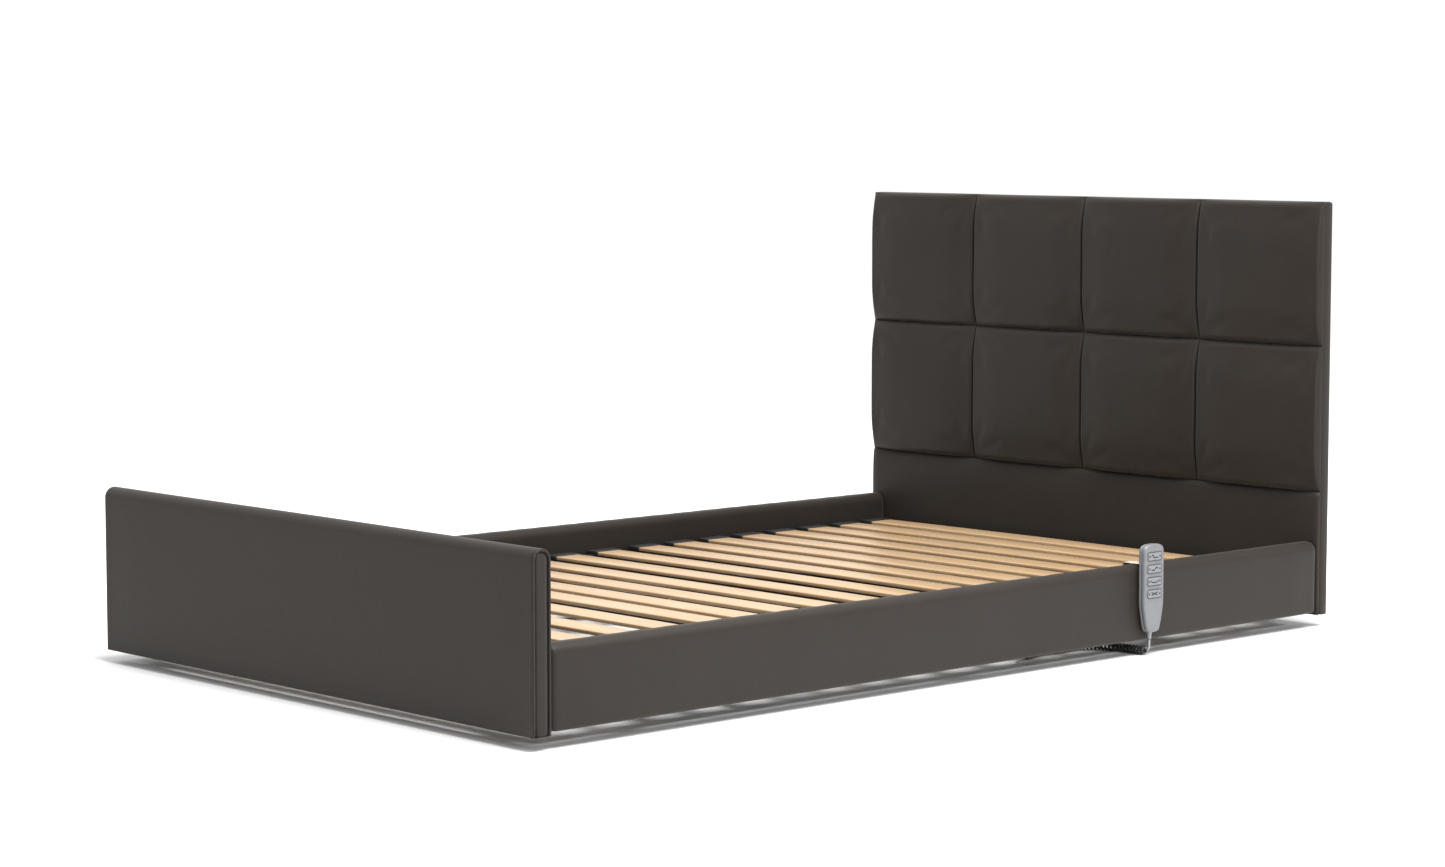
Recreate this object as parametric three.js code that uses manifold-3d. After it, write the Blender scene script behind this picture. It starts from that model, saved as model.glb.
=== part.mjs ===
// An adjustable bed base: an upholstered surround on a steel frame, with a slatted deck in three
// lifting sections, a twin drive, a low scissor lift and a wired handset.
// Millimetres. +X is the handset side, +Y the head end, +Z up. The origin is the middle of the
// floor area under the bed.

import * as THREE from 'three';
import { mergeVertices } from 'three/addons/utils/BufferGeometryUtils.js';
import Module from 'manifold-3d';

const wasm = await Module();
wasm.setup();

// ---- driving dimensions -------------------------------------------------------------------

const halfWidth = 645;
const gap = 0.3;

const footOuterY = -1054;
const footInnerY = -1014;
const footTopZ = 338;
const boardBottomZ = 25;
const coverSkin = 6;

const headSeamY = 1026.5;
const headBackY = 1054;
const headTopZ = 871;
const tileDepth = 22;
const tileColumns = 4;
const tileSeams = [278, 577, headTopZ];
const lowerPadDepth = 8;

const railInnerX = 600;
const railBottomZ = 30;
const railTopZ = 177;
const railEnds = [footInnerY + 0.6, headSeamY - lowerPadDepth - 1];

const frameTubeX = [555, 585];
const frameTubeZ = [60, 90];
const deckTubeZ = [92, 112];
const deckTubeX = [560, 580];
const hingeZ = 102;
const backHingeY = 192;
const thighHingeY = -28;
const kneeY = -340;
const seatTubeYs = [160, 0];
const backEndY = 990;
const calfEndY = -990;

const slatHalfLength = 588;
const slatWidth = 62;
const slatZ = [115, 123];

const pivotHeadY = 620;
const armLength = 1240;
const lowPivotZ = 36;
const highPivotZ = 70;
const rollerY = pivotHeadY - Math.sqrt(armLength ** 2 - (highPivotZ - lowPivotZ) ** 2);
const outerArmX = [455, 465];
const innerArmX = [430, 440];
const floorTubeX = [467, 493];
const floorTubeZ = [18, 36];
const floorEndY = [-740, 700];

const backShaftY = 330;
const legShaftY = -120;
const shaftZ = 68;
const shaftRadius = 11;
const backArmLength = 150;
const legArmLength = 100;
const armRollerRadius = 11.5;
const crankRadius = 22;
const crankPinRadius = 4.5;
const backCrankSwing = THREE.MathUtils.degToRad(55.95);
const legCrankSwing = THREE.MathUtils.degToRad(32);

const liftX = -382;
const liftBase = [110, 45];
const liftPin = [544, 80];

const handsetY = 480;
const handsetX = [650.5, 668];
const handsetZ = [48, 220];
const keyRows = 4;
const keyPitch = 24.3;
const glandX = 656.5;

// ---- solids -------------------------------------------------------------------------------

function solidOf(geometry) {
  const bare = geometry.index ? geometry.toNonIndexed() : geometry.clone();
  bare.deleteAttribute('normal');
  bare.deleteAttribute('uv');
  const merged = mergeVertices(bare, 1e-4);
  return new wasm.Manifold(new wasm.Mesh({
    numProp: 3,
    vertProperties: new Float32Array(merged.attributes.position.array),
    triVerts: new Uint32Array(merged.index.array),
  }));
}

function geometryOf(solid) {
  const mesh = solid.getMesh();
  const geometry = new THREE.BufferGeometry();
  geometry.setAttribute('position', new THREE.BufferAttribute(mesh.vertProperties, 3));
  geometry.setIndex(new THREE.BufferAttribute(mesh.triVerts, 1));
  geometry.computeVertexNormals();
  return geometry;
}

function box(xRange, yRange, zRange) {
  const size = [xRange, yRange, zRange].map(([low, high]) => high - low);
  const middle = [xRange, yRange, zRange].map(([low, high]) => (low + high) / 2);
  return solidOf(new THREE.BoxGeometry(...size).translate(...middle));
}

// A flat outline in (first, second) pushed along the third axis.
function extrude(shape, depth, basis, shift, curveSegments = 6) {
  const geometry = new THREE.ExtrudeGeometry(shape, { depth, bevelEnabled: false, curveSegments });
  geometry.applyMatrix4(new THREE.Matrix4().makeBasis(...basis));
  return solidOf(geometry.translate(...shift));
}

const axisX = new THREE.Vector3(1, 0, 0);
const axisY = new THREE.Vector3(0, 1, 0);
const axisZ = new THREE.Vector3(0, 0, 1);

// An outline in (y, z) pushed along X.
function alongX(shape, [low, high], curveSegments) {
  return extrude(shape, high - low, [axisY, axisZ, axisX], [low, 0, 0], curveSegments);
}

// An outline in (x, z) pushed along Y.
function alongY(shape, [low, high], curveSegments) {
  const back = axisY.clone().negate();
  return extrude(shape, high - low, [axisX, axisZ, back], [0, high, 0], curveSegments);
}

function disc(u, v, radius) {
  const shape = new THREE.Shape();
  shape.absarc(u, v, radius, 0, 2 * Math.PI, false);
  return shape;
}

function rodX(xRange, y, z, radius, segments = 14) {
  return alongX(disc(y, z, radius), xRange, segments / 2);
}

function rodY(yRange, x, z, radius, segments = 14) {
  return alongY(disc(x, z, radius), yRange, segments / 2);
}

// A bar with round ends between two points of the (y, z) plane.
function link([y0, z0], [y1, z1], radius) {
  const angle = Math.atan2(z1 - z0, y1 - y0);
  const shape = new THREE.Shape();
  shape.absarc(y0, z0, radius, angle + Math.PI / 2, angle + 1.5 * Math.PI, false);
  shape.absarc(y1, z1, radius, angle - Math.PI / 2, angle + Math.PI / 2, false);
  shape.closePath();
  return shape;
}

function roundedRect([u0, u1], [v0, v1], [bottom, top]) {
  const shape = new THREE.Shape();
  shape.moveTo(u0 + bottom, v0);
  shape.lineTo(u1 - bottom, v0);
  if (bottom) shape.absarc(u1 - bottom, v0 + bottom, bottom, -Math.PI / 2, 0, false);
  shape.lineTo(u1, v1 - top);
  shape.absarc(u1 - top, v1 - top, top, 0, Math.PI / 2, false);
  shape.absarc(u0 + top, v1 - top, top, Math.PI / 2, Math.PI, false);
  shape.lineTo(u0, v0 + bottom);
  if (bottom) shape.absarc(u0 + bottom, v0 + bottom, bottom, Math.PI, 1.5 * Math.PI, false);
  return shape;
}

function join(...solids) {
  return solids.flat().reduce((all, one) => all.add(one));
}

function cut(solid, ...tools) {
  return tools.flat().reduce((left, tool) => left.subtract(tool), solid);
}

// The same x range on the left and the right of the bed.
function bothSides([low, high]) {
  return [[low, high], [-high, -low]];
}

// ---- materials and nodes ------------------------------------------------------------------

function material(color, roughness, metalness = 0) {
  return new THREE.MeshStandardMaterial({ color, roughness, metalness });
}

const leather = material(0x403c38, 0.55);
const timber = material(0xc9a878, 0.6);
const slatWood = material(0xdcbf92, 0.5);
const frameSteel = material(0x3b3e42, 0.5, 0.4);
const zincSteel = material(0x9a9da0, 0.35, 0.9);
const blackPlastic = material(0x1c1d1f, 0.45);
const blackRubber = material(0x151515, 0.85);
const handsetPlastic = material(0xa8acb2, 0.4);
const creamPlastic = material(0xe1dcd7, 0.45);
const leadPlastic = material(0xb4b6b8, 0.5);

const bed = new THREE.Group();

function group(parent = bed) {
  const child = new THREE.Group();
  parent.add(child);
  return child;
}

function node(parent, name, solid, finish, position = [0, 0, 0]) {
  const mesh = new THREE.Mesh(geometryOf(solid), finish);
  mesh.name = name;
  mesh.position.set(...position);
  parent.add(mesh);
  return mesh;
}

// ---- upholstered surround -----------------------------------------------------------------

function archShape(inset) {
  const thickness = footInnerY - footOuterY - 2 * inset;
  const bottom = inset ? boardBottomZ - 5 : boardBottomZ;
  return roundedRect([footOuterY + inset, footInnerY - inset], [bottom, footTopZ - inset],
    [0, thickness / 2]);
}

function trimmedArch(inset, xRange) {
  const floor = box([-halfWidth, halfWidth], [footOuterY - 1, footInnerY + 1], [0, boardBottomZ]);
  return cut(alongX(archShape(inset), xRange), floor);
}

function addFootboard(parent) {
  const endInner = halfWidth - 8;
  const skin = alongX(archShape(0), [-halfWidth + 0.5, halfWidth - 0.5]);
  node(parent, 'footboard_cover',
    cut(skin, alongX(archShape(coverSkin), [-halfWidth, halfWidth])), leather);
  node(parent, 'footboard_core', trimmedArch(coverSkin + gap, [-endInner + gap, endInner - gap]),
    timber);
  node(parent, 'footboard_end_strip_right',
    trimmedArch(coverSkin + gap, [endInner, halfWidth - 0.5]), leather);
  node(parent, 'footboard_end_strip_left',
    trimmedArch(coverSkin + gap, [-halfWidth + 0.5, -endInner]), leather);
}

function headOutline(inset) {
  return roundedRect([-halfWidth + inset, halfWidth - inset],
    [boardBottomZ - (inset ? 5 : 0), headTopZ - inset], [0, 12]);
}

function addHeadboard(parent) {
  const skin = alongY(headOutline(0), [headSeamY, headBackY]);
  const hollow = alongY(headOutline(8), [headSeamY - 1, headBackY - coverSkin]);
  node(parent, 'headboard_cover', cut(skin, hollow), leather);
  const core = alongY(headOutline(8 + gap), [headSeamY + gap, headBackY - coverSkin - gap]);
  const floor = box([-halfWidth, halfWidth], [headSeamY - 1, headBackY], [0, boardBottomZ]);
  node(parent, 'headboard_core', cut(core, floor), timber);

  const tileWidth = 2 * (halfWidth - 1) / tileColumns;
  ['lower', 'upper'].forEach((row, index) => {
    const height = tileSeams[index + 1] - tileSeams[index];
    const tile = cushion(tileWidth - 1, height - 1, tileDepth);
    for (let column = 0; column < tileColumns; column += 1) {
      const x = (column - (tileColumns - 1) / 2) * tileWidth;
      const z = (tileSeams[index] + tileSeams[index + 1]) / 2;
      node(parent, `headboard_tile_${row}_${column + 1}`, tile, leather,
        [x, headSeamY - gap, z]);
    }
  });
  node(parent, 'headboard_lower_pad',
    box([-halfWidth + 1, halfWidth - 1], [headSeamY - lowerPadDepth, headSeamY - gap],
      [boardBottomZ, tileSeams[0] - 0.5]), leather);
}

// A pad with a flat back on y = 0 that rises to its full depth towards -Y, soft at the edges.
function cushion(width, height, depth) {
  const steps = [[0, 0], [3, 0.55], [12, 0.85], [30, 1]];
  const layers = steps.map(([inset, rise]) => {
    const halfX = width / 2 - inset;
    const halfZ = height / 2 - inset;
    return box([-halfX, halfX], [-depth * rise - 0.01, 0], [-halfZ, halfZ]);
  });
  return join(layers.slice(1), box([-width / 2, width / 2], [-depth * 0.3, 0],
    [-height / 2, height / 2]));
}

function addSideRail(parent, side, sign) {
  const xs = ([low, high]) => (sign > 0 ? [low, high] : [-high, -low]);
  const board = [railInnerX + 8, halfWidth - 8];
  const outline = roundedRect(xs([railInnerX, halfWidth]), [railBottomZ, railTopZ], [6, 18]);
  const hollow = box(xs(board), [railEnds[0] + 8, railEnds[1] - 8], [0, railTopZ - 9]);
  node(parent, `side_rail_cover_${side}`, cut(alongY(outline, railEnds), hollow), leather);
  node(parent, `side_rail_board_${side}`,
    box(xs([board[0] + gap, board[1] - gap]), [railEnds[0] + 8 + gap, railEnds[1] - 8 - gap],
      [railBottomZ, railTopZ - 9 - gap]), timber);
}

// ---- floor frame and scissor lift ---------------------------------------------------------

function addFloorFrame(parent) {
  const crossMembers = [floorEndY[0] + 20, liftBase[0], floorEndY[1] - 20]
    .map((y) => box([-floorTubeX[1], floorTubeX[1]], [y - 15, y + 15], [18, 32]));
  const sides = bothSides(floorTubeX).map((x) => box(x, floorEndY, floorTubeZ));
  const lugs = bothSides([467, 475])
    .map((x) => alongX(link([pivotHeadY, 30], [pivotHeadY, lowPivotZ], 14), x));
  const lugHoles = bothSides([464, 484]).map((x) => rodX(x, pivotHeadY, lowPivotZ, 8.4));
  const tracks = bothSides([402, 428])
    .map((x) => box(x, [floorEndY[0] + 20, -515], [20, 49]));
  const trackSlots = bothSides([405, 429]).map((x) => box(x, [-641, -518], [26, 46]));
  const trackFeet = bothSides([402, 493]).map((x) => box(x, [-530, -515], [18, 21.5]));
  const liftLugs = [[-394, -390], [-374, -370]]
    .map((x) => alongX(link([liftBase[0], 28], liftBase, 9), x));
  const liftHole = rodX([-400, -364], ...liftBase, 5.3);
  node(parent, 'floor_frame', cut(join(sides, crossMembers, lugs, tracks, trackFeet, liftLugs),
    lugHoles, trackSlots, liftHole), frameSteel);

  const footShape = new THREE.CylinderGeometry(24, 28, 18 - gap, 20);
  const foot = solidOf(footShape.rotateX(Math.PI / 2));
  const places = { front_right: [480, -720], front_left: [-480, -720],
    rear_right: [480, 680], rear_left: [-480, 680] };
  for (const [name, [x, y]] of Object.entries(places)) {
    node(parent, `floor_foot_${name}`, foot, blackRubber, [x, y, (18 - gap) / 2]);
  }
}

function addOuterScissor(parent) {
  const low = [pivotHeadY, lowPivotZ];
  const high = [rollerY, highPivotZ];
  const middle = [(low[0] + high[0]) / 2, (low[1] + high[1]) / 2];
  const arms = bothSides(outerArmX).map((x) => alongX(link(low, high, 16), x));
  const headShaft = rodX([-481, 481], ...low, 8);
  const rollShaft = rodX([-outerArmX[0] - 2, outerArmX[0] + 2], ...high, 8);
  const axles = bothSides([464, 489]).map((x) => rodX(x, ...high, 6));
  const midPins = bothSides([441, 456]).map((x) => rodX(x, ...middle, 12));
  const midBosses = bothSides([431, 442]).map((x) => rodX(x, ...middle, 8));
  const crank = alongX(link(low, liftPin, 11), [liftX + 14, liftX + 20]);
  const crankPin = rodX([liftX - 7, liftX + 15], ...liftPin, 6);
  node(parent, 'outer_scissor_arms',
    join(arms, headShaft, rollShaft, axles, midPins, midBosses, crank, crankPin), frameSteel);
}

function addInnerScissor(parent) {
  const high = [pivotHeadY, highPivotZ];
  const low = [rollerY, lowPivotZ];
  const along = (distance) => low.map((value, i) => value + (high[i] - value) * distance / armLength);
  const arms = bothSides(innerArmX).map((x) => alongX(link(low, high, 16), x));
  const headShaft = rodX([-453, 453], ...high, 8);
  const tieTube = rodX([-innerArmX[0] - 2, innerArmX[0] + 2], ...along(140), 10);
  const axles = bothSides([407, 431]).map((x) => rodX(x, ...low, 6));
  const midHoles = bothSides([428, 442]).map((x) => rodX(x, ...along(armLength / 2), 8.4));
  node(parent, 'inner_scissor_arms', cut(join(arms, headShaft, tieTube, axles), midHoles),
    frameSteel);
}

function addRoller(parent, name, xRange, z) {
  const wheel = cut(rodX(xRange, 0, 0, 9.6, 20), rodX([xRange[0] - 1, xRange[1] + 1], 0, 0, 6.3));
  node(parent, name, wheel, blackPlastic, [0, rollerY, z]);
}

function liftPoint(distance, offset = 0) {
  const run = Math.hypot(liftPin[0] - liftBase[0], liftPin[1] - liftBase[1]);
  const along = liftPin.map((value, i) => (value - liftBase[i]) / run);
  return [liftBase[0] + along[0] * distance - along[1] * offset,
    liftBase[1] + along[1] * distance + along[0] * offset];
}

// A round bar along the actuator's own axis, which leans in the (y, z) plane.
function liftRod(from, to, radius, x = liftX, segments = 14) {
  const [y0, z0] = liftPoint(from);
  const [y1, z1] = liftPoint(to);
  const bar = new THREE.CylinderGeometry(radius, radius, to - from, segments);
  bar.rotateX(Math.atan2(z1 - z0, y1 - y0));
  return solidOf(bar.translate(x, (y0 + y1) / 2, (z0 + z1) / 2));
}

function addLiftActuator(parent) {
  const pinLength = Math.hypot(liftPin[0] - liftBase[0], liftPin[1] - liftBase[1]);
  const eye = alongX(link(liftBase, liftPoint(24), 8.5), [liftX - 7, liftX + 7]);
  const basePin = rodX([-396, -368], ...liftBase, 4.7);
  const body = join(eye, basePin, liftRod(18, 235, 14));
  const motor = liftRod(28, 140, 12, liftX - 24);
  const bore = liftRod(60, 240, 8.4);
  node(parent, 'lift_actuator_body', cut(join(body, motor), bore), blackPlastic);
  const rod = liftRod(150, pinLength - 8, 7.8);
  const rodEye = alongX(link(liftPoint(pinLength - 14), liftPin, 11), [liftX - 7, liftX + 7]);
  node(parent, 'lift_actuator_rod', cut(join(rod, rodEye), rodX([-400, -364], ...liftPin, 8.2)),
    zincSteel);
}

// ---- bed frame and deck -------------------------------------------------------------------

function addMainFrame(parent) {
  const sides = bothSides(frameTubeX).map((x) => box(x, [-1000, 1000], frameTubeZ));
  const fullX = [-frameTubeX[1], frameTubeX[1]];
  const crossTubes = [-985, -700, 665, 985].map((y) => box(fullX, [y - 15, y + 15], frameTubeZ));
  const seatTubes = seatTubeYs.map((y) => box(fullX, [y - 10, y + 10], deckTubeZ));
  const seatPosts = bothSides(frameTubeX)
    .map((x) => box(x, [seatTubeYs[1] - 10, seatTubeYs[0] + 10], [frameTubeZ[1] - 1, deckTubeZ[0] + 1]));
  const hingeLugs = [backHingeY, thighHingeY].flatMap((y) => bothSides([581.3, 585])
    .map((x) => alongX(link([y, 85], [y, hingeZ], 9), x)));
  const hingeHoles = [backHingeY, thighHingeY]
    .flatMap((y) => bothSides([581, 590]).map((x) => rodX(x, y, hingeZ, 5.4)));
  const endPlates = [[footInnerY + 0.6, -990], [990, headSeamY - lowerPadDepth - 0.5]]
    .flatMap((y) => bothSides([470, 550]).map((x) => box(x, y, frameTubeZ)));
  const railBrackets = [-800, 0, 800].flatMap((y) => bothSides([580, railInnerX - 0.4])
    .map((x) => box(x, [y - 30, y + 30], [62, 88])));
  const pivotLugs = bothSides([442.4, 452])
    .map((x) => alongX(link([655, 75], [pivotHeadY, highPivotZ], 14), x));
  const lugHoles = bothSides([441, 456]).map((x) => rodX(x, pivotHeadY, highPivotZ, 8.4));
  const tracks = bothSides([467, 493]).map((x) => box(x, [-690, -505], [57, 83]));
  const trackSlots = bothSides([466, 490]).map((x) => box(x, [-641, -508], [60, 80]));
  const trackStays = bothSides([492, 556]).map((x) => box(x, [-525, -505], [64, 83]));
  const shaftRails = bothSides([332, 350]).map((x) => box(x, [-142, 352], [57, 89]));
  const shaftPosts = bothSides([332, 350])
    .flatMap((x) => seatTubeYs.map((y) => box(x, [y - 10, y + 10], [88, 93])));
  const bearings = [backShaftY, legShaftY]
    .flatMap((y) => bothSides([330, 352]).map((x) => rodX(x, y, shaftZ, shaftRadius + 0.4)));
  const frame = join(sides, crossTubes, seatTubes, seatPosts, hingeLugs, endPlates, railBrackets,
    pivotLugs, tracks, trackStays, shaftRails, shaftPosts);
  node(parent, 'main_frame', cut(frame, hingeHoles, lugHoles, trackSlots, bearings),
    frameSteel);
}

// Slats across the deck, tied by a rubber holder strip over each side tube.
function slatSet(from, to, count) {
  const pitch = (to - from - slatWidth) / Math.max(count - 1, 1);
  const slats = Array.from({ length: count }, (_, i) => {
    const y = from + i * pitch;
    return box([-slatHalfLength, slatHalfLength], [y, y + slatWidth], slatZ);
  });
  const strips = bothSides(deckTubeX)
    .map((x) => box(x, [from, to], [deckTubeZ[1] + gap, slatZ[0] + 1]));
  return join(slats, strips);
}

// Two side tubes from the hinge axis to the far end, with the cross tubes that tie them.
function sectionFrame(hingeY, farY, crossYs, runner) {
  const nearY = hingeY + Math.sign(farY - hingeY);
  const yRange = [Math.min(nearY, farY), Math.max(nearY, farY)];
  const sides = bothSides(deckTubeX).map((x) => box(x, yRange, deckTubeZ));
  const ends = bothSides(deckTubeX).map((x) => rodX(x, hingeY, hingeZ, 10));
  const pins = bothSides([deckTubeX[1] - 1, deckTubeX[1] + 6]).map((x) => rodX(x, hingeY, hingeZ, 5));
  const middleX = (deckTubeX[0] + deckTubeX[1]) / 2;
  const crosses = crossYs.map((y) => box([-middleX, middleX], [y - 9.5, y + 9.5],
    [deckTubeZ[0] + 0.5, deckTubeZ[1] - 0.5]));
  const runners = runner ? bothSides([302, 322]).map((x) => box(x, runner, deckTubeZ)) : [];
  return join(sides, ends, pins, crosses, runners);
}

function addDeck(seatGroup, backGroup, thighGroup, calfGroup) {
  node(seatGroup, 'seat_slats', slatSet(-8, 168, 2), slatWood);

  const back = sectionFrame(backHingeY, backEndY, [280, 610, backEndY - 10], [280, 610]);
  node(backGroup, 'back_frame', back, frameSteel);
  node(backGroup, 'back_slats', slatSet(222, backEndY, 8), slatWood);

  const kneePlates = bothSides([580.6, 584.6])
    .map((x) => alongX(link([kneeY + 40, hingeZ], [kneeY, hingeZ], 9), x));
  const kneePads = bothSides([deckTubeX[1] - 2, 583])
    .map((x) => box(x, [kneeY + 16, kneeY + 40], [94, 110]));
  const kneeHoles = bothSides([579.8, 590]).map((x) => rodX(x, kneeY, hingeZ, 5.4));
  const thigh = sectionFrame(thighHingeY, kneeY + 13, [-70, kneeY + 30], [kneeY + 30, -70]);
  node(thighGroup, 'thigh_frame', cut(join(thigh, kneePlates, kneePads), kneeHoles),
    frameSteel);
  node(thighGroup, 'thigh_slats', slatSet(kneeY + 14, -58, 3), slatWood);

  const calf = sectionFrame(kneeY, calfEndY, [-380, -680, calfEndY + 10], null);
  node(calfGroup, 'calf_frame', join(calf, retainerBar()), frameSteel);
  node(calfGroup, 'calf_slats', slatSet(calfEndY + 30, kneeY - 14, 6), slatWood);
}

// A low hoop at the foot of the deck that keeps the mattress from sliding.
function retainerBar() {
  const y = calfEndY + 10;
  const foot = deckTubeZ[1] - 1;
  const top = 172;
  const radius = 5;
  const posts = bothSides([256, 264]).map((x) => box(x, [y - 4, y + 4], [foot, top - 2]));
  return join(posts, box([-265, 265], [y - radius, y + radius], [top - 2 * radius, top]));
}

// ---- twin drive ---------------------------------------------------------------------------

function addDrive(parent) {
  const outside = [[-90, 90], [-165, 375], [38, 85]];
  const inside = [[-87, 87], [-162, 372], [41, 90]];
  const slots = [backShaftY, legShaftY].flatMap((y) => [
    box([-95, 95], [y - shaftRadius - 0.4, y + shaftRadius + 0.4], [shaftZ, 90]),
    rodX([-95, 95], y, shaftZ, shaftRadius + 0.4)]);
  const inlet = box([-104, -88], [200, 236], [48, 74]);
  const inletMouth = box([-106, -94], [204, 232], [52, 70]);
  node(parent, 'drive_housing', cut(join(box(...outside), inlet), box(...inside), slots,
    inletMouth), blackPlastic);
  const ribs = [-60, 0, 60].map((x) => box([x - 4, x + 4], [-140, 350], [88, 89.4]));
  node(parent, 'drive_cover', join(box(outside[0], outside[1], [85 + gap, 88.2]), ribs),
    blackPlastic);

  // Each motor: gearbox across the drive, motor barrel along it, spindle under the crank.
  const gearZ = [41 + gap, 82];
  const barrelX = 53;
  const spindleZ = 48;
  const backMotor = join(
    box([-20, 75], [62, 98], gearZ),
    rodY([97, 190], barrelX, 62, 19),
    rodY([97, 270], 0, spindleZ, 5));
  node(parent, 'back_motor', backMotor, blackPlastic);
  const legMotor = join(
    box([-75, 20], [14, 48], gearZ),
    rodY([47, 150], -barrelX, 62, 19),
    rodY([-80, 15], 0, spindleZ, 5));
  node(parent, 'leg_motor', legMotor, blackPlastic);
}

function addSliders(backSlider, legSlider) {
  const play = crankPinRadius + 5.5;
  const backNose = backShaftY - crankRadius * Math.sin(backCrankSwing) - play;
  const legNose = legShaftY + crankRadius * Math.sin(legCrankSwing) + play;
  node(backSlider, 'back_slider',
    cut(box([-16, 16], [205, backNose], [41.5, 55.5]), rodY([200, backNose - 8], 0, 48, 5.3)),
    creamPlastic);
  node(legSlider, 'leg_slider',
    cut(box([-16, 16], [legNose, -30], [41.5, 55.5]), rodY([legNose + 8, -25], 0, 48, 5.3)),
    creamPlastic);
}

// A lifting shaft: two arms with rollers under the deck's runners and a short crank for the drive.
function torqueTube(y, armReach, direction, swing) {
  const rise = deckTubeZ[0] - 0.5 - armRollerRadius - shaftZ;
  const tip = [y + direction * Math.sqrt(armReach ** 2 - rise ** 2), shaftZ + rise];
  const axis = [y, shaftZ];
  const shaft = rodX([-353, 353], ...axis, shaftRadius, 18);
  const arms = bothSides([288, 298]).map((x) => alongX(link(axis, tip, 10.5), x));
  const rollers = bothSides([297, 320]).map((x) => rodX(x, ...tip, armRollerRadius, 18));
  const crankTip = [y - direction * crankRadius * Math.sin(swing),
    shaftZ - crankRadius * Math.cos(swing)];
  const crank = alongX(link(axis, crankTip, crankPinRadius), [-10, 10]);
  return join(shaft, arms, rollers, crank);
}

// ---- handset and its cord -----------------------------------------------------------------

function handsetOutline(inset) {
  const half = 28.5 - inset;
  const lowHalf = 18 - inset;
  const top = handsetZ[1] - inset;
  const bottom = handsetZ[0] + inset;
  const shape = new THREE.Shape();
  shape.moveTo(handsetY - lowHalf + 8, bottom);
  shape.lineTo(handsetY + lowHalf - 8, bottom);
  shape.quadraticCurveTo(handsetY + lowHalf, bottom, handsetY + lowHalf + 1, bottom + 9);
  shape.lineTo(handsetY + half, bottom + 52);
  shape.lineTo(handsetY + half, top - 14);
  shape.quadraticCurveTo(handsetY + half, top - 4, handsetY + half - 10, top - 2.5);
  shape.quadraticCurveTo(handsetY, top + 1, handsetY - half + 10, top - 2.5);
  shape.quadraticCurveTo(handsetY - half, top - 4, handsetY - half, top - 14);
  shape.lineTo(handsetY - half, bottom + 52);
  shape.lineTo(handsetY - lowHalf - 1, bottom + 9);
  shape.quadraticCurveTo(handsetY - lowHalf, bottom, handsetY - lowHalf + 8, bottom);
  return shape;
}

function keyZ(row) {
  return handsetZ[1] - 24 - row * keyPitch;
}

function addHandset(parent) {
  const split = 658;
  const shell = alongX(handsetOutline(0), [handsetX[0], split], 4);
  const room = alongX(handsetOutline(2.5), [handsetX[0] + 2.5, split + 1], 4);
  const gland = new THREE.CylinderGeometry(5.4, 3.2, 16, 12).rotateX(Math.PI / 2);
  const glandZ = handsetZ[0] - 6;
  const relief = cut(solidOf(gland.translate(glandX, handsetY, glandZ)),
    box([split, split + 10], [handsetY - 9, handsetY + 9], [handsetZ[0] - gap, handsetZ[0] + 9]));
  node(parent, 'handset_back', join(cut(shell, room), relief), handsetPlastic);
  const face = alongX(handsetOutline(0), [split + gap, handsetX[1] - 1], 4);
  const bezel = alongX(handsetOutline(1.5), [handsetX[1] - 1.1, handsetX[1]], 4);
  const faceRoom = alongX(handsetOutline(2.5), [split, handsetX[1] - 2.5], 4);
  const windows = Array.from({ length: keyRows }, (_, row) =>
    box([handsetX[1] - 4, handsetX[1] + 1], [handsetY - 20.2, handsetY + 20.2],
      [keyZ(row) - 8.7, keyZ(row) + 8.7]));
  node(parent, 'handset_face', cut(join(face, bezel), faceRoom, windows), handsetPlastic);

  const strapY = [handsetY - 12.5, handsetY + 12.5];
  const strapShape = new THREE.Shape();
  const outline = [[handsetX[0] - gap, 150], [handsetX[0] - gap, railTopZ + 3],
    [railInnerX - 4, railTopZ + 3], [railInnerX - 4, 150], [railInnerX - 2, 150],
    [railInnerX - 2, railTopZ + 1], [halfWidth + 1.5, railTopZ + 1], [halfWidth + 1.5, 150]];
  strapShape.setFromPoints(outline.map(([x, z]) => new THREE.Vector2(x, z)));
  node(parent, 'handset_hook', alongY(strapShape, strapY), creamPlastic);
}

function addKey(parent, row) {
  const key = join(box([0, 2.6], [-19.5, 19.5], [-8, 8]), box([-1.5, 0.1], [-17, 17], [-6, 6]));
  node(parent, `handset_key_${row + 1}`, key, handsetPlastic,
    [handsetX[1] - 2, handsetY, keyZ(row)]);
}

const leadRadius = 2.25;
const coilRadius = 9;
const coilRestZ = coilRadius + 0.3;
const coilPath = [[649.8, 480, coilRestZ], [630, 479, coilRestZ], [600, 477, coilRestZ],
  [570, 473, coilRestZ], [545, 464, coilRestZ], [527, 447, coilRestZ], [518, 424, coilRestZ],
  [515, 395, coilRestZ], [515, 360, coilRestZ], [516, 325, coilRestZ], [520, 292, coilRestZ],
  [526, 262, coilRestZ]];
const leadPath = [[glandX, 480, 33.6], [glandX, 480, 27], [656.3, 480, 21], [655.6, 480, 16.5],
  [654, 480, 12.6], [652, 480, coilRestZ + 0.4]];
const tailPath = [[526.4, 261.2, coilRestZ], [529, 250, 8], [533, 238, 7], [540, 227, 8],
  [549, 220, 13], [557, 216, 21], [562, 214, 30], [563, 213.5, 38.7]];

function tube(points, radius, sides, steps) {
  const curve = new THREE.CatmullRomCurve3(points.map((point) => new THREE.Vector3(...point)));
  const section = new THREE.Shape();
  section.setFromPoints(Array.from({ length: sides }, (_, i) => {
    const turn = 2 * Math.PI * i / sides;
    return new THREE.Vector2(radius * Math.cos(turn), radius * Math.sin(turn));
  }));
  return solidOf(new THREE.ExtrudeGeometry(section, { steps, extrudePath: curve }));
}

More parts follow.
